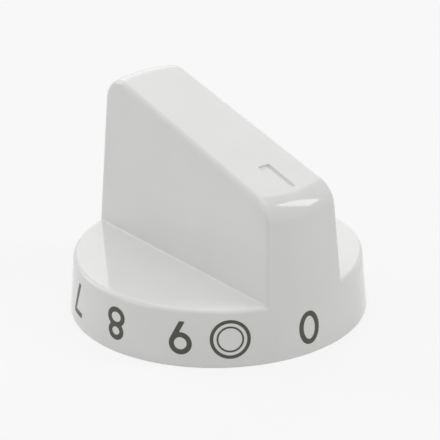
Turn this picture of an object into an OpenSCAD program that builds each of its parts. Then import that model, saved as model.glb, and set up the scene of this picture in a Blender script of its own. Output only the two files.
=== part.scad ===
// Control knob of a kitchen hob: a hollow moulding, with a bar grip across a round skirt,
// and the leaf spring that holds it on a D-shaped shaft.
// Z is up and the skirt's foot stands on z = 0. The grip runs along Y, its pointer end at -Y.

/* [Skirt] */
// Diameter of the skirt at its foot
skirt_d = 45; // [42:0.5:48]
// Height of the disc's top face above the hob
skirt_h = 9; // [8:0.1:11]
// Draft of the skirt's wall, in degrees
skirt_draft = 4.3; // [3:0.1:5.5]
// Radius along the disc's rim
rim_r = 0.7; // [0.4:0.1:1.2]
// Radius along the foot's outer edge
foot_r = 0.3; // [0.1:0.1:0.6]
// Wall of the whole moulding
wall = 2.2; // [2:0.1:2.6]
// Radius in the corners of the hollow
core_r = 0.5; // [0.3:0.1:0.8]

/* [Grip] */
// Width of the grip where it stands on the disc
grip_w = 14.2; // [13:0.1:16]
// Height of the sloping top above the hob, at the knob's axis
grip_h = 28.9; // [26:0.1:32]
// Slope of the top, down towards the pointer end, in degrees
top_slope = 13.4; // [10:0.1:16]
// Draft of the grip's sides and ends, in degrees
grip_draft = 3.4; // [2:0.1:4.5]
// Radius across the two upper ends
end_r = 3.8; // [3.2:0.1:5]
// Radius along the long top edges and the upright corners
edge_r = 0.8; // [0.5:0.1:1.2]
// Fillet where the grip's sides stand on the disc
root_r = 0.7; // [0.4:0.1:1.2]

/* [Index mark] */
// Length of the recess along the sloping top
mark_len = 6.4; // [4:0.1:9]
// Width of the recess
mark_w = 2; // [1:0.1:3]
// Depth of the recess
mark_depth = 0.4; // [0.2:0.05:0.8]
// Distance from the top's sharp front corner to the recess
mark_inset = 3.9; // [3:0.1:6]

/* [Boss and socket] */
// Diameter of the shaft
shaft_d = 6; // [5.6:0.1:6.4]
// Thickness of the shaft across its flat
shaft_across = 4.6; // [4.2:0.1:5]
// Clearance between the socket and the shaft, on each side
shaft_gap = 0.05; // [0.02:0.01:0.1]
// Length of the D-shaped socket
socket_len = 10; // [9.5:0.5:13]
// Length of the round lead-in below the socket
lead_len = 4.3; // [3:0.1:6]
// Clearance between the lead-in and the shaft, on each side
lead_gap = 0.25; // [0.25:0.05:0.5]
// Diameter of the boss
boss_d = 11; // [10:0.1:12.5]
// Height of the boss's mouth above the foot
boss_lift = 1.2; // [0.6:0.1:2]
// Diameter of the core hole that keeps the boss from being solid above the socket
core_d = 4.4; // [3.6:0.1:5]

/* [Ribs] */
// Thickness of the cross ribs
rib_t = 1.3; // [1:0.1:1.6]
// Height of the ribs' lower edges above the foot
rib_lift = 3; // [2.2:0.1:5]

/* [Shaft spring] */
// Thickness of the spring's strip
spring_t = 0.4; // [0.3:0.05:0.5]
// Width of the strip
spring_w = 3.4; // [2.8:0.1:3.8]
// Length of the strip, end to end
spring_len = 9; // [8:0.1:9.2]
// How far the bow stands into the socket, past its flat
spring_bite = 0.3; // [0.1:0.05:0.4]
// Rise of the bow over the strip's ends
spring_bow = 0.8; // [0.6:0.05:0.9]
// Clearance between the strip and its pocket
spring_gap = 0.05; // [0.02:0.01:0.1]

/* [Hidden] */

$fn = 96;
// Small lap by which merged solids cross each other cleanly
lap = 0.02;
// How deep the grip's root is sunk into the disc
root_sink = 1;
// Points along one end of a grip section, and round one of its corners
end_steps = 12;
corner_steps = 4;
// Steps round a small and a large radius of the grip
edge_steps = 4;
round_steps = 7;
// Steps round the small radii of turned outlines
arc_steps = 6;

foot_radius = skirt_d / 2;
rim_radius = skirt_r(skirt_h);
disc_under = skirt_h - wall;
socket_z = boss_lift + lead_len;
stop_z = socket_z + socket_len;
core_top = grip_h - tan(top_slope) * core_d / 2 - wall / cos(top_slope);
socket_flat = shaft_across - shaft_d / 2 + shaft_gap;
bow_crest = socket_flat - spring_bite;
strip_back = bow_crest + spring_bow + spring_t;
// Far above and below the part, for cuts that go right through
beyond = 2 * (grip_h + skirt_d);

knob_white = "white";
spring_steel = "silver";

// Outer radius of the skirt at height z
function skirt_r(z) = foot_radius - tan(skirt_draft) * z;
// Radius of the grip's ends and half its width, at height z, taken in by inset
function end_radius(z, inset) = rim_radius - tan(grip_draft) * (z - skirt_h) - inset;
function half_width(z, inset) = grip_w / 2 - tan(grip_draft) * (z - skirt_h) - inset;

// Points of an arc round centre c
function arc(c, r, from, to, steps) = [
    for (i = [0 : steps])
        let (a = from + (to - from) * i / steps)
        c + r * [cos(a), sin(a)]
];

// How far a fillet of radius r draws in its wall at depth v below the top plane.
// The wall and the plane's normal differ by lean degrees.
function fillet_inset(v, r, lean) =
    v < r * (1 - sin(lean))
    ? r * tan((90 - lean) / 2) + v * tan(lean) - sqrt(r * r - pow(r - v, 2))
    : 0;

// How far the fillet on the disc spreads a side at height z
function root_flare(z) =
    z < skirt_h + root_r - lap
    ? root_r - sqrt(root_r * root_r - pow(skirt_h + root_r - lap - max(z, skirt_h - lap), 2))
    : 0;

// One end of a plan outline: two corner arcs and the end arc between them, in order round +Y
function end_outline(w, r, c) =
    let (
        centre = [w - c, sqrt(pow(r - c, 2) - pow(w - c, 2))],
        a = atan2(centre[1], centre[0])
    )
    concat(
        arc(centre, c, 0, a, corner_steps),
        [for (i = [1 : end_steps - 1])
            let (t = a + (180 - 2 * a) * i / end_steps)
            r * [cos(t), sin(t)]],
        arc([-centre[0], centre[1]], c, 180 - a, 180, corner_steps)
    );

// Height of the top plane above a place y along the grip, taken down by inset and depth v
function top_z(y, inset, v) = grip_h + tan(top_slope) * y - (inset + v) / cos(top_slope);

// Height at which one end of a section lies; side is 1 for the back and -1 for the front
function end_z(side, inset, v) =
    top_z(side * end_radius(top_z(side * rim_radius, inset, v), inset), inset, v);

// Section of the grip parallel to its sloping top, v below it
function slope_section(v, inset, r_end, r_edge) = [
    for (side = [1, -1])
        let (
            z = end_z(side, inset, v),
            lean = -side * top_slope + grip_draft,
            r = end_radius(z, inset) - cos(top_slope) * fillet_inset(v, r_end, lean),
            w = half_width(z, inset) - fillet_inset(v, r_edge, grip_draft)
        )
        for (p = end_outline(w, r, r_edge))
            [side * p[0], side * p[1], top_z(side * p[1], inset, v)]
];

// Level section of the grip at height z, its sides spread by flare
function level_section(z, inset, r_edge, flare) = [
    for (side = [1, -1])
        for (p = end_outline(half_width(z, inset) + flare, end_radius(z, inset), r_edge))
            [side * p[0], side * p[1], z]
];

// Closed solid through a stack of sections, the first one on top
module loft(sections) {
    n = len(sections[0]);
    m = len(sections);
    polyhedron(
        points = [for (s = sections) for (p = s) p],
        faces = concat(
            [[for (i = [n - 1 : -1 : 0]) i]],
            [for (k = [0 : m - 2]) for (i = [0 : n - 1])
                let (a = k * n + i, b = k * n + (i + 1) % n)
                each [[a, b, b + n], [a, b + n, a + n]]],
            [[for (i = [0 : n - 1]) (m - 1) * n + i]]
        ),
        convexity = 4
    );
}

// Depths of the sections that shape the top's radii
function round_depths(r_end, r_edge) =
    let (a0 = acos(1 - r_edge / r_end), a1 = 90 + top_slope)
    concat(
        [for (i = [0 : edge_steps]) r_edge * (1 - cos(90 * i / edge_steps))],
        [for (i = [1 : round_steps]) r_end * (1 - cos(a0 + (a1 - a0) * i / round_steps))]
    );

// The grip's skin, taken in by inset on every face, down to height foot
module grip_skin(inset, foot, flared = false) {
    r_end = max(end_r - inset, edge_r);
    r_edge = max(edge_r - inset, core_r);
    flare_z = [for (i = [arc_steps : -1 : 0])
        skirt_h - lap + root_r * (1 - cos(90 * i / arc_steps))];
    loft(concat(
        [for (v = round_depths(r_end, r_edge)) slope_section(v, inset, r_end, r_edge)],
        flared ? [for (z = flare_z) level_section(z, inset, r_edge, root_flare(z))] : [],
        [level_section(foot, inset, r_edge, flared ? root_flare(foot) : 0)]
    ));
}

// Solid skirt and disc, turned, with a round rim and foot
module skirt() {
    rim = [skirt_r(skirt_h - rim_r) - rim_r / cos(skirt_draft), skirt_h - rim_r];
    foot = [skirt_r(foot_r) - foot_r, foot_r];
    rotate_extrude()
        polygon(concat(
            [[0, 0]],
            arc(foot, foot_r, -90, 0, arc_steps),
            arc(rim, rim_r, skirt_draft, 90, arc_steps),
            [[0, skirt_h]]
        ));
}

// Fills the rim's radius under the grip's ends, so that they run flush into the skirt
module grip_root() {
    root_w = grip_w - 2 * edge_r;
    intersection() {
        rotate_extrude()
            polygon([
                [0, disc_under],
                [skirt_r(disc_under), disc_under],
                [rim_radius, skirt_h],
                [0, skirt_h]
            ]);
        translate([-root_w / 2, -skirt_d / 2, 0])
            cube([root_w, skirt_d, beyond]);
    }
}

// Turned hollow under the disc, taken in from the skirt's outside by inset
module skirt_hollow(inset, ceiling) {
    corner = [skirt_r(ceiling - core_r) - inset - core_r, ceiling - core_r];
    rotate_extrude()
        polygon(concat(
            [[0, -lap], [skirt_r(-lap) - inset, -lap]],
            arc(corner, core_r, 0, 90, arc_steps),
            [[0, ceiling]]
        ));
}

// The boss and the cross ribs, ending inside the walls that carry them
module boss_and_ribs() {
    intersection() {
        union() {
            translate([0, 0, boss_lift])
                cylinder(d = boss_d, h = beyond);
            for (a = [0, 90])
                rotate(a)
                    translate([-rib_t / 2, -skirt_d / 2, rib_lift])
                        cube([rib_t, skirt_d, beyond]);
        }
        union() {
            skirt_hollow(wall / 2, skirt_h - wall / 2);
            grip_skin(wall / 2, disc_under - root_sink);
        }
    }
}

// Everything that is cut out of the boss: lead-in, D-shaped socket, core hole and spring pocket
module socket() {
    translate([0, 0, boss_lift - lap])
        cylinder(d = shaft_d + 2 * lead_gap, h = lead_len + lap);
    difference() {
        translate([0, 0, socket_z - lap])
            cylinder(d = shaft_d + 2 * shaft_gap, h = socket_len + lap);
        translate([-shaft_d, socket_flat, socket_z - 2 * lap])
            cube([2 * shaft_d, shaft_d, socket_len + 4 * lap]);
    }
    translate([0, 0, stop_z - lap])
        cylinder(d = core_d, h = core_top - stop_z + lap);
    translate([-spring_w / 2 - spring_gap, 0, socket_z - lap])
        cube([
            spring_w + 2 * spring_gap,
            strip_back + spring_gap,
            spring_len + spring_gap + 2 * lap
        ]);
}

// Recess near the front of the sloping top that shows where the knob points
module index_mark() {
    front_y = -end_radius(top_z(-rim_radius, 0, 0), 0) / cos(top_slope);
    translate([0, 0, grip_h])
        rotate([top_slope, 0, 0])
            translate([-mark_w / 2, front_y + mark_inset, -mark_depth])
                cube([mark_w, mark_len, beyond]);
}

// One moulding: skirt, disc, grip, boss and ribs
module knob_body() {
    color(knob_white)
        difference() {
            union() {
                difference() {
                    union() {
                        skirt();
                        grip_root();
                        grip_skin(lap, skirt_h - root_sink, flared = true);
                    }
                    skirt_hollow(wall, disc_under);
                    grip_skin(wall, disc_under - root_sink);
                }
                boss_and_ribs();
            }
            socket();
            index_mark();
        }
}

// Bowed strip that presses on the shaft's flat, in the pocket behind the socket
module shaft_spring() {
    bow_r = (spring_len * spring_len / 4 + spring_bow * spring_bow) / (2 * spring_bow);
    middle_z = socket_z + spring_len / 2;
    color(spring_steel)
        translate([-spring_w / 2, 0, 0])
            rotate([90, 0, 90])
                linear_extrude(spring_w)
                    intersection() {
                        difference() {
                            translate([bow_crest + bow_r, middle_z])
                                circle(bow_r);
                            translate([bow_crest + bow_r + spring_t, middle_z])
                                circle(bow_r);
                        }
                        translate([bow_crest, socket_z])
                            square([spring_bow + spring_t, spring_len]);
                    }
}

knob_body();
shaft_spring();
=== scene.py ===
"""Glossy white hob knob: moulded body, printed scale, shaft spring, lamps and floor."""

import math

import bpy
import numpy as np
from mathutils import Matrix, Vector


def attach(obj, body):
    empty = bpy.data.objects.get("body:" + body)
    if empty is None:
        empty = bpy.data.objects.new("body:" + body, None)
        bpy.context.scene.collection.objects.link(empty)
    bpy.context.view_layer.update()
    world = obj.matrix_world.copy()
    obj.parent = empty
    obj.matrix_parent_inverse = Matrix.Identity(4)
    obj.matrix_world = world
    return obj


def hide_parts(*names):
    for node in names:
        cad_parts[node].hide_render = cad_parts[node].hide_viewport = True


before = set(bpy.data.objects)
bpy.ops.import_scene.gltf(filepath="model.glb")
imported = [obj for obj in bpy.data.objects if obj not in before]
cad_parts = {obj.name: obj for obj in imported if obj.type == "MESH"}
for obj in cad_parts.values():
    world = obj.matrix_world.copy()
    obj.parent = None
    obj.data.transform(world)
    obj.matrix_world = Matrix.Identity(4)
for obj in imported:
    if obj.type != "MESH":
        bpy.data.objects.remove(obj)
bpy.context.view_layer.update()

# Sizes of the knob, in millimetres and degrees. Z is up, the pointer end is at -Y.
MM = 0.001
FOOT_R = 22.5
SKIRT_H = 9.0
SKIRT_DRAFT = math.radians(4.3)
RIM_R = 0.7
FOOT_EDGE_R = 0.3
WALL = 2.2
CORE_R = 0.5
GRIP_W = 14.2
GRIP_H = 28.9
TOP_SLOPE = math.radians(13.4)
GRIP_DRAFT = math.radians(3.4)
END_R = 3.8
EDGE_R = 0.8
ROOT_R = 0.3
MARK_W, MARK_LEN, MARK_DEPTH, MARK_INSET = 2.0, 6.3, 0.4, 3.7
MARK_EDGE_R = 0.12
SHAFT_R, SHAFT_ACROSS, SHAFT_GAP = 3.0, 4.6, 0.05
SOCKET_LEN, LEAD_LEN, LEAD_GAP = 10.0, 4.3, 0.25
BOSS_R, BOSS_LIFT, CORE_HOLE_R = 5.5, 1.2, 2.2
RIB_T, RIB_LIFT = 1.3, 3.0
SPRING_T, SPRING_W, SPRING_LEN = 0.4, 3.4, 9.0
SPRING_BITE, SPRING_BOW, SPRING_GAP = 0.3, 0.8, 0.05

# Small roundings: hollow's rims, socket's mouth and flat, pocket, boss, ribs, boss to ribs, ribs to walls
HOLLOW_EDGE_R, SOCKET_EDGE_R, FLAT_EDGE_R = 0.2, 0.15, 0.1
POCKET_R, BOSS_EDGE_R, RIB_EDGE_R, WEB_R, RIB_ROOT_R = 0.3, 0.3, 0.25, 0.5, 0.4
POCKET_LAP = 1.0

RIM_RADIUS = FOOT_R - math.tan(SKIRT_DRAFT) * SKIRT_H
DISC_UNDER = SKIRT_H - WALL
SOCKET_Z = BOSS_LIFT + LEAD_LEN
STOP_Z = SOCKET_Z + SOCKET_LEN
SOCKET_FLAT = SHAFT_ACROSS - SHAFT_R + SHAFT_GAP
STRIP_BACK = SOCKET_FLAT - SPRING_BITE + SPRING_BOW + SPRING_T
CORE_TOP = GRIP_H - math.tan(TOP_SLOPE) * CORE_HOLE_R - WALL / math.cos(TOP_SLOPE)


# Distance fields. Each is a pair: signed distance (N,) and unit normal (3, N), negative inside.

def plane(p, normal, offset):
    """Half space below a plane."""
    n = np.asarray(normal, float)
    n = n / np.linalg.norm(n)
    return n @ p - offset, np.broadcast_to(n[:, None], p.shape)


def cone(p, radius, height, draft):
    """Inside of a cone round Z that has this radius at this height and narrows upward."""
    rho = np.maximum(np.hypot(p[0], p[1]), 1e-9)
    c, s = math.cos(draft), math.sin(draft)
    d = (rho - radius) * c + (p[2] - height) * s
    return d, np.stack([p[0] / rho * c, p[1] / rho * c, np.full_like(rho, s)])


def strip(p, half, height, draft):
    """Between two walls across X that lean in upward."""
    c, s = math.cos(draft), math.sin(draft)
    side = np.where(p[0] < 0, -1.0, 1.0)
    d = (side * p[0] - half) * c + (p[2] - height) * s
    return d, np.stack([side * c, np.zeros_like(d), np.full_like(d, s)])


def both(a, b, r=0.0):
    """Intersection, its edge rounded to radius r."""
    (da, na), (db, nb) = a, b
    far_a, far_b = da + r, db + r
    cos = np.sum(na * nb, axis=0)
    lean_a, lean_b = far_a - far_b * cos, far_b - far_a * cos
    corner = (lean_a > 0) & (lean_b > 0) & (np.abs(cos) < 0.9999) & (r > 0)
    sin2 = np.maximum(1 - cos * cos, 1e-4)
    reach = np.sqrt(np.maximum(far_a ** 2 + far_b ** 2 - 2 * far_a * far_b * cos, 1e-12) / sin2)
    d = np.where(corner, reach, np.maximum(far_a, far_b)) - r
    turned = (lean_a * na + lean_b * nb) / (sin2 * reach)
    return d, np.where(corner, turned, np.where(far_a > far_b, na, nb))


def outside(a):
    """Everything that a isn't."""
    return -a[0], -a[1]


def either(a, b, r=0.0):
    """Union, its inner corner filled to radius r."""
    return outside(both(outside(a), outside(b), r))


def level(p, z):
    """Everything below height z."""
    return plane(p, (0, 0, 1), z)


def above(p, z):
    """Everything above height z."""
    return plane(p, (0, 0, -1), -z)


def grip(p, inset, end_r, edge_r):
    """The bar grip, taken in by inset on every face."""
    cos = math.cos(TOP_SLOPE)
    top = plane(p, (0, -math.sin(TOP_SLOPE), cos), GRIP_H * cos - inset)
    ends = cone(p, RIM_RADIUS - inset, SKIRT_H, GRIP_DRAFT)
    sides = strip(p, GRIP_W / 2 - inset, SKIRT_H, GRIP_DRAFT)
    return both(both(top, ends, end_r), sides, edge_r)


def skirt(p):
    """The turned skirt with its disc, going on below the foot."""
    return both(cone(p, FOOT_R, 0, SKIRT_DRAFT), level(p, SKIRT_H), RIM_R)


def hollow(p):
    """The moulding's hollow: under the disc and up inside the grip, less boss and ribs."""
    under = both(cone(p, FOOT_R - WALL, 0, SKIRT_DRAFT), level(p, DISC_UNDER), CORE_R)
    pocket = both(grip(p, WALL, END_R - WALL, CORE_R), above(p, DISC_UNDER - POCKET_LAP))
    boss = both(cone(p, BOSS_R, 0, 0), above(p, BOSS_LIFT), BOSS_EDGE_R)
    across = both(plane(p, (0, 1, 0), RIB_T / 2), plane(p, (0, -1, 0), RIB_T / 2))
    ribs = both(either(strip(p, RIB_T / 2, 0, 0), across), above(p, RIB_LIFT), RIB_EDGE_R)
    return both(either(under, pocket, POCKET_R), outside(either(boss, ribs, WEB_R)), RIB_ROOT_R)


def socket(p):
    """What is cut out of the boss: lead-in, D-shaped socket, core hole and spring pocket."""
    lead = both(cone(p, SHAFT_R + LEAD_GAP, 0, 0), level(p, SOCKET_Z))
    shaft = both(cone(p, SHAFT_R + SHAFT_GAP, 0, 0), level(p, STOP_Z))
    shaft = both(shaft, plane(p, (0, 1, 0), SOCKET_FLAT), FLAT_EDGE_R)
    core = both(cone(p, CORE_HOLE_R, 0, 0), level(p, CORE_TOP), CORE_R)
    slot = both(strip(p, SPRING_W / 2 + SPRING_GAP, 0, 0), level(p, SOCKET_Z + SPRING_LEN))
    slot = both(slot, plane(p, (0, 1, 0), STRIP_BACK + SPRING_GAP))
    slot = both(slot, plane(p, (0, -1, 0), 0))
    return either(either(lead, core), either(shaft, slot))


def index_mark(p):
    """The recess near the front of the sloping top."""
    cos, sin = math.cos(TOP_SLOPE), math.sin(TOP_SLOPE)
    front_z = GRIP_H - math.tan(TOP_SLOPE) * RIM_RADIUS
    front = -(RIM_RADIUS - math.tan(GRIP_DRAFT) * (front_z - SKIRT_H)) / cos + MARK_INSET
    up = GRIP_H * sin
    along = (0, cos, sin)
    back = tuple(-c for c in along)
    ends = both(plane(p, along, front + MARK_LEN + up), plane(p, back, -front - up))
    walls = both(ends, strip(p, MARK_W / 2, 0, 0), MARK_EDGE_R)
    floor = plane(p, (0, sin, -cos), MARK_DEPTH - GRIP_H * cos)
    return both(walls, floor, MARK_EDGE_R)


def knob(p):
    """The whole moulding."""
    solid = either(skirt(p), grip(p, 0, END_R, EDGE_R), ROOT_R)
    solid = both(solid, above(p, 0), FOOT_EDGE_R)
    solid = both(solid, outside(hollow(p)), HOLLOW_EDGE_R)
    solid = both(solid, outside(socket(p)), SOCKET_EDGE_R)
    return both(solid, outside(index_mark(p)), MARK_EDGE_R)


# Mesh of a distance field

CLOSING_STEPS, LONGEST_MOVE, EVENING = 4, 0.4, 0.5

def grid_line(low, high, step, fine):
    """Grid places from low to high, closer together inside the fine stretches."""
    places = [low]
    while places[-1] < high:
        here = places[-1]
        steps = [s for a, b, s in fine if a - step < here < b]
        places.append(here + min(steps + [step]))
    return np.array(places)


def sample(field, xs, ys, zs, layers=3):
    """Distances on a grid, a few layers at a time."""
    values = np.empty((len(xs), len(ys), len(zs)))
    for k in range(0, len(zs), layers):
        block = np.meshgrid(xs, ys, zs[k:k + layers], indexing="ij")
        p = np.stack([b.ravel() for b in block])
        values[:, :, k:k + layers] = field(p)[0].reshape(block[0].shape)
    return values


def surface_net(values, xs, ys, zs):
    """One vertex in each cell that the surface crosses, one quad round each crossed edge."""
    inside = values < 0
    count = np.zeros(tuple(n - 1 for n in inside.shape), np.int8)
    for i in (0, 1):
        for j in (0, 1):
            for k in (0, 1):
                count += inside[i:i - 1 or None, j:j - 1 or None, k:k - 1 or None]
    active = (count > 0) & (count < 8)
    ids = np.full(active.shape, -1)
    ids[active] = np.arange(active.sum())
    middles = [(a[1:] + a[:-1]) / 2 for a in (xs, ys, zs)]
    cells = np.nonzero(active)
    points = np.stack([m[c] for m, c in zip(middles, cells)])
    quads = []
    for axis in range(3):
        s = np.moveaxis(inside, axis, 0)
        n = np.moveaxis(ids, axis, 0)
        crossed = (s[1:] != s[:-1])[:, 1:-1, 1:-1]
        ring = np.stack([n[:, :-1, :-1], n[:, 1:, :-1], n[:, 1:, 1:], n[:, :-1, 1:]], axis=-1)
        ring = ring[crossed]
        flip = s[1:, 1:-1, 1:-1][crossed] ^ (axis == 1)
        ring[flip] = ring[flip][:, ::-1]
        quads.append(ring)
    return points, np.concatenate(quads)


def settle(field, points, quads, rounds=3):
    """Put the vertices on the surface, and even them out along it."""
    for turn in range(rounds + 1):
        for _ in range(CLOSING_STEPS):
            d, n = field(points)
            points = points - np.clip(d, -LONGEST_MOVE, LONGEST_MOVE) * n
        if turn < rounds:
            total = np.zeros_like(points)
            shares = np.zeros(points.shape[1])
            for a, b in ((0, 1), (1, 2), (2, 3), (3, 0)):
                for u, v in ((quads[:, a], quads[:, b]), (quads[:, b], quads[:, a])):
                    for axis in range(3):
                        total[axis] += np.bincount(u, points[axis][v], points.shape[1])
                    shares += np.bincount(u, minlength=points.shape[1])
            pull = total / shares - points
            _, n = field(points)
            points = points + EVENING * (pull - n * np.sum(pull * n, axis=0))
    return points


def new_object(name, points, normals, faces):
    """Smooth Blender object from points in millimetres and their normals, both (3, N)."""
    mesh = bpy.data.meshes.new(name)
    mesh.from_pydata((points.T * MM).tolist(), [], faces.tolist())
    mesh.polygons.foreach_set("use_smooth", [True] * len(mesh.polygons))
    mesh.normals_split_custom_set_from_vertices(normals.T.tolist())
    obj = bpy.data.objects.new(name, mesh)
    bpy.context.scene.collection.objects.link(obj)
    return obj


def meshed(field, xs, ys, zs):
    """Points, normals and quads of a field's surface."""
    points, quads = surface_net(sample(field, xs, ys, zs), xs, ys, zs)
    points = settle(field, points, quads)
    return points, field(points)[1], quads


# Printed scale: strokes in millimetres on the unrolled skirt, figures upright, centred on 0, 0

def oval(x, y, rx, ry, start=0, end=360, steps=48):
    """Points along part of an ellipse, angles in degrees."""
    t = np.radians(np.linspace(start, end, steps + 1))
    return np.stack([x + rx * np.cos(t), y + ry * np.sin(t)], axis=1)


def turned(points):
    """The same stroke turned half a turn."""
    return [(-x, -y) for x, y in points]


FIGURE_W, FIGURE_H, HALF_STROKE = 3.66, 5.14, 0.39
SIX_LEG = [(-1.19, -0.23), (0.60, 3.27)]
SIX_BOWL = oval(0, -0.84, 1.34, 1.34)
FIGURES = {
    "0": [oval(0, 0, 1.42, 2.2)],
    "1": [[(-0.95, 1.25), (0.3, 2.3), (0.3, -3.2)]],
    "2": [np.concatenate([oval(0, 1.0, 1.2, 1.18, 170, -38), [(-1.3, -2.18), (2.2, -2.18)]])],
    "3": [oval(-0.1, 1.13, 1.08, 1.05, 155, -90), oval(-0.1, -1.02, 1.28, 1.16, 90, -155)],
    "4": [[(0.5, 3.2), (-1.3, -1.2), (2.2, -1.2)], [(0.62, -3.2), (0.62, 0.3)]],
    "5": [[(2.2, 2.18), (-0.75, 2.18), (-1.0, 0.15)], oval(0, -0.9, 1.3, 1.28, 140, -155)],
    "6": [SIX_BOWL, SIX_LEG],
    "7": [[(-2.2, 2.18), (1.15, 2.18), (-1.0, -3.2)]],
    "8": [oval(0, -1.02, 1.3, 1.16), oval(0, 1.16, 1.1, 1.02)],
    "9": [turned(SIX_BOWL), turned(SIX_LEG)],
}
FIGURE_PLACES = {
    "0": (-0.9, 4.2), "9": (-52.15, 4.57), "8": (-80.3, 4.6), "7": (-108.4, 4.55),
    "6": (-136.5, 4.55), "5": (-164.6, 4.55), "4": (167.3, 4.55), "3": (139.2, 4.55),
    "2": (111.1, 4.55), "1": (83.0, 4.55),
}
RINGS = [(2.74, 0.26), (1.87, 0.14)]
RING_PLACE = (-33.2, 4.5)
RING_BOX, RING_STEPS = 8, 96
FIGURE_GRID, RING_GRID = 0.12, 0.1
INK_FLAT, INK_EDGE_R = 0.2, 0.08
INK_PROUD, INK_SUNK = 0.03, 0.03


def strokes_field(p, strokes, half):
    """Distance to strokes of one width, standing upright on the flat sheet."""
    best = np.full(p.shape[1], np.inf)
    normal = np.zeros_like(p)
    for stroke in strokes:
        for a, b in zip(stroke[:-1], stroke[1:]):
            a, b = np.asarray(a, float), np.asarray(b, float)
            run = b - a
            off = p[:2] - a[:, None]
            t = np.clip(run @ off / (run @ run), 0, 1)
            off = off - run[:, None] * t
            d = np.maximum(np.hypot(off[0], off[1]), 1e-9)
            nearer = d < best
            best[nearer] = d[nearer]
            normal[:2, nearer] = (off / d)[:, nearer]
    return best - half, normal


def figure_field(strokes, half, width, height):
    """Field of one printed figure as a film, its stroke ends cut square at the figure's box."""
    def field(p):
        film = strokes_field(p, strokes, half)
        for normal, reach in (((1, 0, 0), width), ((-1, 0, 0), width),
                              ((0, 1, 0), height), ((0, -1, 0), height)):
            film = both(film, plane(p, normal, reach / 2))
        film = both(film, plane(p, (0, 0, 1), INK_FLAT), INK_EDGE_R)
        return both(film, plane(p, (0, 0, -1), INK_FLAT), INK_EDGE_R)
    return field


def on_skirt(points, angle, height):
    """Wraps a flat figure round the skirt, turned half a turn, its top towards the foot."""
    z = height - points[1]
    wall = FOOT_R - math.tan(SKIRT_DRAFT) * z
    middle = FOOT_R - math.tan(SKIRT_DRAFT) * height
    a = math.radians(angle) - points[0] / middle
    lift = np.interp(points[2], [-INK_FLAT, INK_FLAT], [-INK_SUNK, INK_PROUD])
    out = np.stack([np.sin(a), -np.cos(a), np.full_like(a, math.tan(SKIRT_DRAFT))])
    placed = np.stack([(wall + lift) * out[0], (wall + lift) * out[1], z])
    return placed, out / np.linalg.norm(out, axis=0)


def printed_scale():
    """Points, normals and quads of every printed figure and the double ring."""
    films = [(FIGURES[n], HALF_STROKE, FIGURE_PLACES[n], FIGURE_W, FIGURE_H, FIGURE_GRID) for n in FIGURES]
    for radius, half in RINGS:
        ring = [oval(0, 0, radius, radius, steps=RING_STEPS)]
        films.append((ring, half, RING_PLACE, RING_BOX, RING_BOX, RING_GRID))
    parts = []
    count = 0
    for strokes, half, place, width, height, step in films:
        field = figure_field(strokes, half, width, height)
        reach = max(abs(np.concatenate([np.asarray(s, float) for s in strokes])).max(0)) + half
        across = min(reach, width / 2) + 3 * step
        up = min(reach, height / 2) + 3 * step
        deep = INK_FLAT + 2 * step
        lines = [grid_line(-r, r, step, []) for r in (across, up, deep)]
        points, _, quads = meshed(field, *lines)
        placed, out = on_skirt(points, *place)
        parts.append((placed, out, quads + count))
        count += points.shape[1]
    return [np.concatenate(p, axis=-1 if i < 2 else 0) for i, p in enumerate(zip(*parts))]


# Materials

def new_material(name, **values):
    """Material with a Principled shader, its single-valued sockets set."""
    material = bpy.data.materials.new(name)
    material.use_nodes = True
    bsdf = material.node_tree.nodes["Principled BSDF"]
    for socket, value in values.items():
        bsdf.inputs[socket.replace("_", " ")].default_value = value
    return material, bsdf


def add(tree, kind, **settings):
    """New node with its settings; a setting that names an input socket goes to that socket."""
    node = tree.nodes.new(kind)
    for key, value in settings.items():
        if hasattr(node, key):
            setattr(node, key, value)
        else:
            node.inputs[key.replace("_", " ")].default_value = value
    return node


def noise(tree, scale, detail=3.0, stretch=(1, 1, 1)):
    """Noise in object space, its features about 1 / scale metres across."""
    place = add(tree, "ShaderNodeTexCoord")
    mapping = add(tree, "ShaderNodeMapping")
    mapping.inputs["Scale"].default_value = stretch
    texture = add(tree, "ShaderNodeTexNoise", Scale=scale, Detail=detail)
    tree.links.new(place.outputs["Object"], mapping.inputs["Vector"])
    tree.links.new(mapping.outputs["Vector"], texture.inputs["Vector"])
    return texture.outputs["Fac"]


def span(tree, value, low, high):
    """Spreads a noise value over low to high."""
    node = add(tree, "ShaderNodeMapRange")
    for socket, number in (("From Min", 0.3), ("From Max", 0.7), ("To Min", low), ("To Max", high)):
        node.inputs[socket].default_value = number
    tree.links.new(value, node.inputs["Value"])
    return node.outputs["Result"]


def between(tree, value, first, second):
    """Colour that goes from first to second with a noise value."""
    node = add(tree, "ShaderNodeMix", data_type="RGBA")
    colours = [i for i in node.inputs if i.type == "RGBA"]
    colours[0].default_value = (*first, 1)
    colours[1].default_value = (*second, 1)
    tree.links.new(span(tree, value, 0, 1), node.inputs["Factor"])
    return [o for o in node.outputs if o.type == "RGBA"][0]


def relief(tree, bsdf, heights):
    """Bump from (value, depth in metres) pairs, one after the other."""
    last = None
    for value, depth in heights:
        bump = add(tree, "ShaderNodeBump", Distance=depth)
        tree.links.new(value, bump.inputs["Height"])
        if last:
            tree.links.new(last.outputs["Normal"], bump.inputs["Normal"])
        last = bump
    tree.links.new(last.outputs["Normal"], bsdf.inputs["Normal"])


def knob_plastic():
    """Glossy white moulded plastic: a faint orange peel, soft mottling and handling marks."""
    material, bsdf = new_material("knob_plastic", IOR=1.5)
    tree = material.node_tree
    colour = between(tree, noise(tree, 90), (0.80, 0.80, 0.79), (0.83, 0.83, 0.82))
    tree.links.new(colour, bsdf.inputs["Base Color"])
    tree.links.new(span(tree, noise(tree, 260, 6), 0.045, 0.08), bsdf.inputs["Roughness"])
    relief(tree, bsdf, [(noise(tree, 420, 2), 6e-6), (noise(tree, 3200, 3), 8e-7)])
    return material


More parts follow.
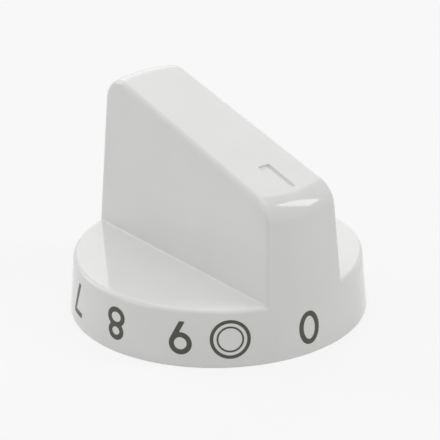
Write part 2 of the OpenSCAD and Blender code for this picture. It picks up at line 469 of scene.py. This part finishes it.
def spring_steel():
    """Bright rolled strip, its grain along the strip."""
    material, bsdf = new_material("spring_steel", Metallic=1.0)
    tree = material.node_tree
    grain = noise(tree, 2500, 5, (1, 1, 0.04))
    colour = between(tree, grain, (0.52, 0.52, 0.53), (0.64, 0.64, 0.65))
    tree.links.new(colour, bsdf.inputs["Base Color"])
    tree.links.new(span(tree, grain, 0.22, 0.38), bsdf.inputs["Roughness"])
    relief(tree, bsdf, [(grain, 3e-6)])
    return material


def scale_ink():
    """Dark olive-grey printing ink, a little rough and thinner in places."""
    material, bsdf = new_material("scale_ink")
    tree = material.node_tree
    colour = between(tree, noise(tree, 1500, 4), (0.062, 0.062, 0.045), (0.080, 0.080, 0.060))
    tree.links.new(colour, bsdf.inputs["Base Color"])
    tree.links.new(span(tree, noise(tree, 2200, 4), 0.3, 0.45), bsdf.inputs["Roughness"])
    relief(tree, bsdf, [(noise(tree, 5000, 2), 1e-6)])
    return material


# Pieces on the frame

BODY_GRID, MARK_GRID, ROOT_GRID, SOCKET_GRID, FOOT_GRID = 0.5, 0.14, 0.25, 0.3, 0.15
BODY_REACH, BODY_FOOT, BODY_TOP = 23.2, -0.7, 33.6

def body_lines():
    """Grid lines for the body: closer at the index mark, the foot and the grip's root."""
    mark_x, mark_z = (-1.3, 1.3, MARK_GRID), (24.2, 26.8, MARK_GRID)
    mark_front, mark_back = (-17.7, -16.9, MARK_GRID), (-11.5, -10.8, MARK_GRID)
    roots = [(-7.9, -5.0, ROOT_GRID), (5.0, 7.9, ROOT_GRID)]
    socket_y = (-4, 4, SOCKET_GRID)
    foot_z, disc_z = (-0.7, 0.6, FOOT_GRID), (8.0, 10.0, ROOT_GRID)
    xs = grid_line(-BODY_REACH, BODY_REACH, BODY_GRID, roots + [mark_x])
    ys = grid_line(-BODY_REACH, BODY_REACH, BODY_GRID, [mark_front, mark_back, socket_y])
    zs = grid_line(BODY_FOOT, BODY_TOP, BODY_GRID, [foot_z, disc_z, mark_z])
    return xs, ys, zs


shell = new_object("knob_shell", *meshed(knob, *body_lines()))
shell.data.materials.append(knob_plastic())
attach(shell, "root")
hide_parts("knob_body")

scale = new_object("printed_scale", *printed_scale())
scale.data.materials.append(scale_ink())
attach(scale, "root")

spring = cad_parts["shaft_spring"]
spring.data.materials.clear()
spring.data.materials.append(spring_steel())


# Camera, lamps and floor

def direction(azimuth, elevation):
    """Unit vector towards an azimuth (0 at -Y, 90 at +X) and an elevation, in degrees."""
    a, e = math.radians(azimuth), math.radians(elevation)
    return Vector((math.sin(a) * math.cos(e), -math.cos(a) * math.cos(e), math.sin(e)))


def turn_to(back, roll=0.0):
    """Rotation whose +Z points along back, rolled about it."""
    right = Vector((0, 0, 1)).cross(back).normalized()
    up = back.cross(right)
    r = math.radians(roll)
    x = right * math.cos(r) + up * math.sin(r)
    y = up * math.cos(r) - right * math.sin(r)
    return Matrix((x, y, back)).transposed().to_quaternion()


CAMERA_AZIMUTH, CAMERA_ELEVATION, CAMERA_ROLL = -37.4027, 23.5599, -0.93
CAMERA_AIM = Vector((3.379, 3.754, 11.547)) * MM
CAMERA_DISTANCE = 436.34 * MM
CAMERA_LENS, CAMERA_SENSOR = 234.318, 36
CAMERA_NEAR = 0.01

camera_data = bpy.data.cameras.new("camera")
camera_data.lens = CAMERA_LENS
camera_data.sensor_width = CAMERA_SENSOR
camera_data.clip_start = CAMERA_NEAR
camera = bpy.data.objects.new("camera", camera_data)
back = direction(CAMERA_AZIMUTH, CAMERA_ELEVATION)
camera.location = CAMERA_AIM + back * CAMERA_DISTANCE
camera.rotation_mode = "QUATERNION"
camera.rotation_quaternion = turn_to(back, CAMERA_ROLL)
bpy.context.scene.collection.objects.link(camera)
bpy.context.scene.camera = camera
bpy.context.scene.view_settings.view_transform = "Standard"

LAMP_CENTRE = Vector((0, 0, 12)) * MM
# A lamp straight overhead would have no sideways direction to be turned by
STEEPEST = 89.9
# Softboxes: azimuth, elevation, distance, width and height in metres, power in watts
SOFTBOXES = {
    "key_front_right": (46, 38, 0.6, 0.14, 0.36, 0.7),
    "top": (0, 90, 0.7, 0.6, 0.6, 1.5),
    "left": (-100, 20, 0.7, 0.4, 0.4, 0.68),
    "front_left": (-20, 30, 0.7, 0.4, 0.4, 0.5),
    "back_right": (140, 30, 0.7, 0.4, 0.6, 0.6),
    "back_left": (-160, 30, 0.7, 0.4, 0.4, 0.84),
}
for name, (azimuth, elevation, distance, width, height, power) in SOFTBOXES.items():
    lamp = bpy.data.lights.new(name, "AREA")
    lamp.shape = "RECTANGLE"
    lamp.size = width
    lamp.size_y = height
    lamp.energy = power
    box = bpy.data.objects.new(name, lamp)
    towards = direction(azimuth, min(elevation, STEEPEST))
    box.location = LAMP_CENTRE + towards * distance
    box.rotation_mode = "QUATERNION"
    box.rotation_quaternion = turn_to(towards)
    bpy.context.scene.collection.objects.link(box)

AMBIENT = 0.26
FLOOR_WHITE = 0.8
FLOOR_REACH = 3.0
PAPER = (0.82, 0.82, 0.82, 1)
WHITE = (1, 1, 1, 1)


def seen_directly(tree):
    """1 on rays from the camera, from a reflection or through glass, and 0 on all others."""
    path = add(tree, "ShaderNodeLightPath")
    last = path.outputs["Is Camera Ray"]
    for ray in ("Is Glossy Ray", "Is Transmission Ray"):
        most = add(tree, "ShaderNodeMath", operation="MAXIMUM")
        tree.links.new(last, most.inputs[0])
        tree.links.new(path.outputs[ray], most.inputs[1])
        last = most.outputs["Value"]
    return last


def mixed(tree, share, first, second, output):
    """Mixes two shaders by a share and sends them to the output."""
    mix = add(tree, "ShaderNodeMixShader")
    tree.links.new(share, mix.inputs["Fac"])
    tree.links.new(first, mix.inputs[1])
    tree.links.new(second, mix.inputs[2])
    tree.links.new(mix.outputs["Shader"], output.inputs["Surface"])


def studio_world():
    """Dim even light, seen as plain white."""
    world = bpy.data.worlds.new("studio")
    world.use_nodes = True
    sky = world.node_tree
    dim = sky.nodes["Background"]
    dim.inputs["Color"].default_value = WHITE
    dim.inputs["Strength"].default_value = AMBIENT
    white = add(sky, "ShaderNodeBackground", Color=WHITE, Strength=1.0)
    mixed(sky, seen_directly(sky), dim.outputs[0], white.outputs[0], sky.nodes["World Output"])
    return world


def floor_paper():
    """Matt paper, part of it replaced by plain white where it is seen, so that its shadow stays."""
    paper = bpy.data.materials.new("floor_paper")
    paper.use_nodes = True
    tree = paper.node_tree
    tree.nodes.remove(tree.nodes["Principled BSDF"])
    matt = add(tree, "ShaderNodeBsdfDiffuse", Color=PAPER)
    glow = add(tree, "ShaderNodeEmission", Color=WHITE, Strength=1.0)
    share = add(tree, "ShaderNodeMath", operation="MULTIPLY")
    share.inputs[1].default_value = FLOOR_WHITE
    tree.links.new(seen_directly(tree), share.inputs[0])
    mixed(tree, share.outputs["Value"], matt.outputs[0], glow.outputs[0], tree.nodes["Material Output"])
    return paper


bpy.context.scene.world = studio_world()

corners = [(x * FLOOR_REACH, y * FLOOR_REACH, 0) for x, y in ((-1, -1), (1, -1), (1, 1), (-1, 1))]
floor_mesh = bpy.data.meshes.new("floor")
floor_mesh.from_pydata(corners, [], [(0, 1, 2, 3)])
floor_mesh.materials.append(floor_paper())
floor = bpy.data.objects.new("floor", floor_mesh)
bpy.context.scene.collection.objects.link(floor)
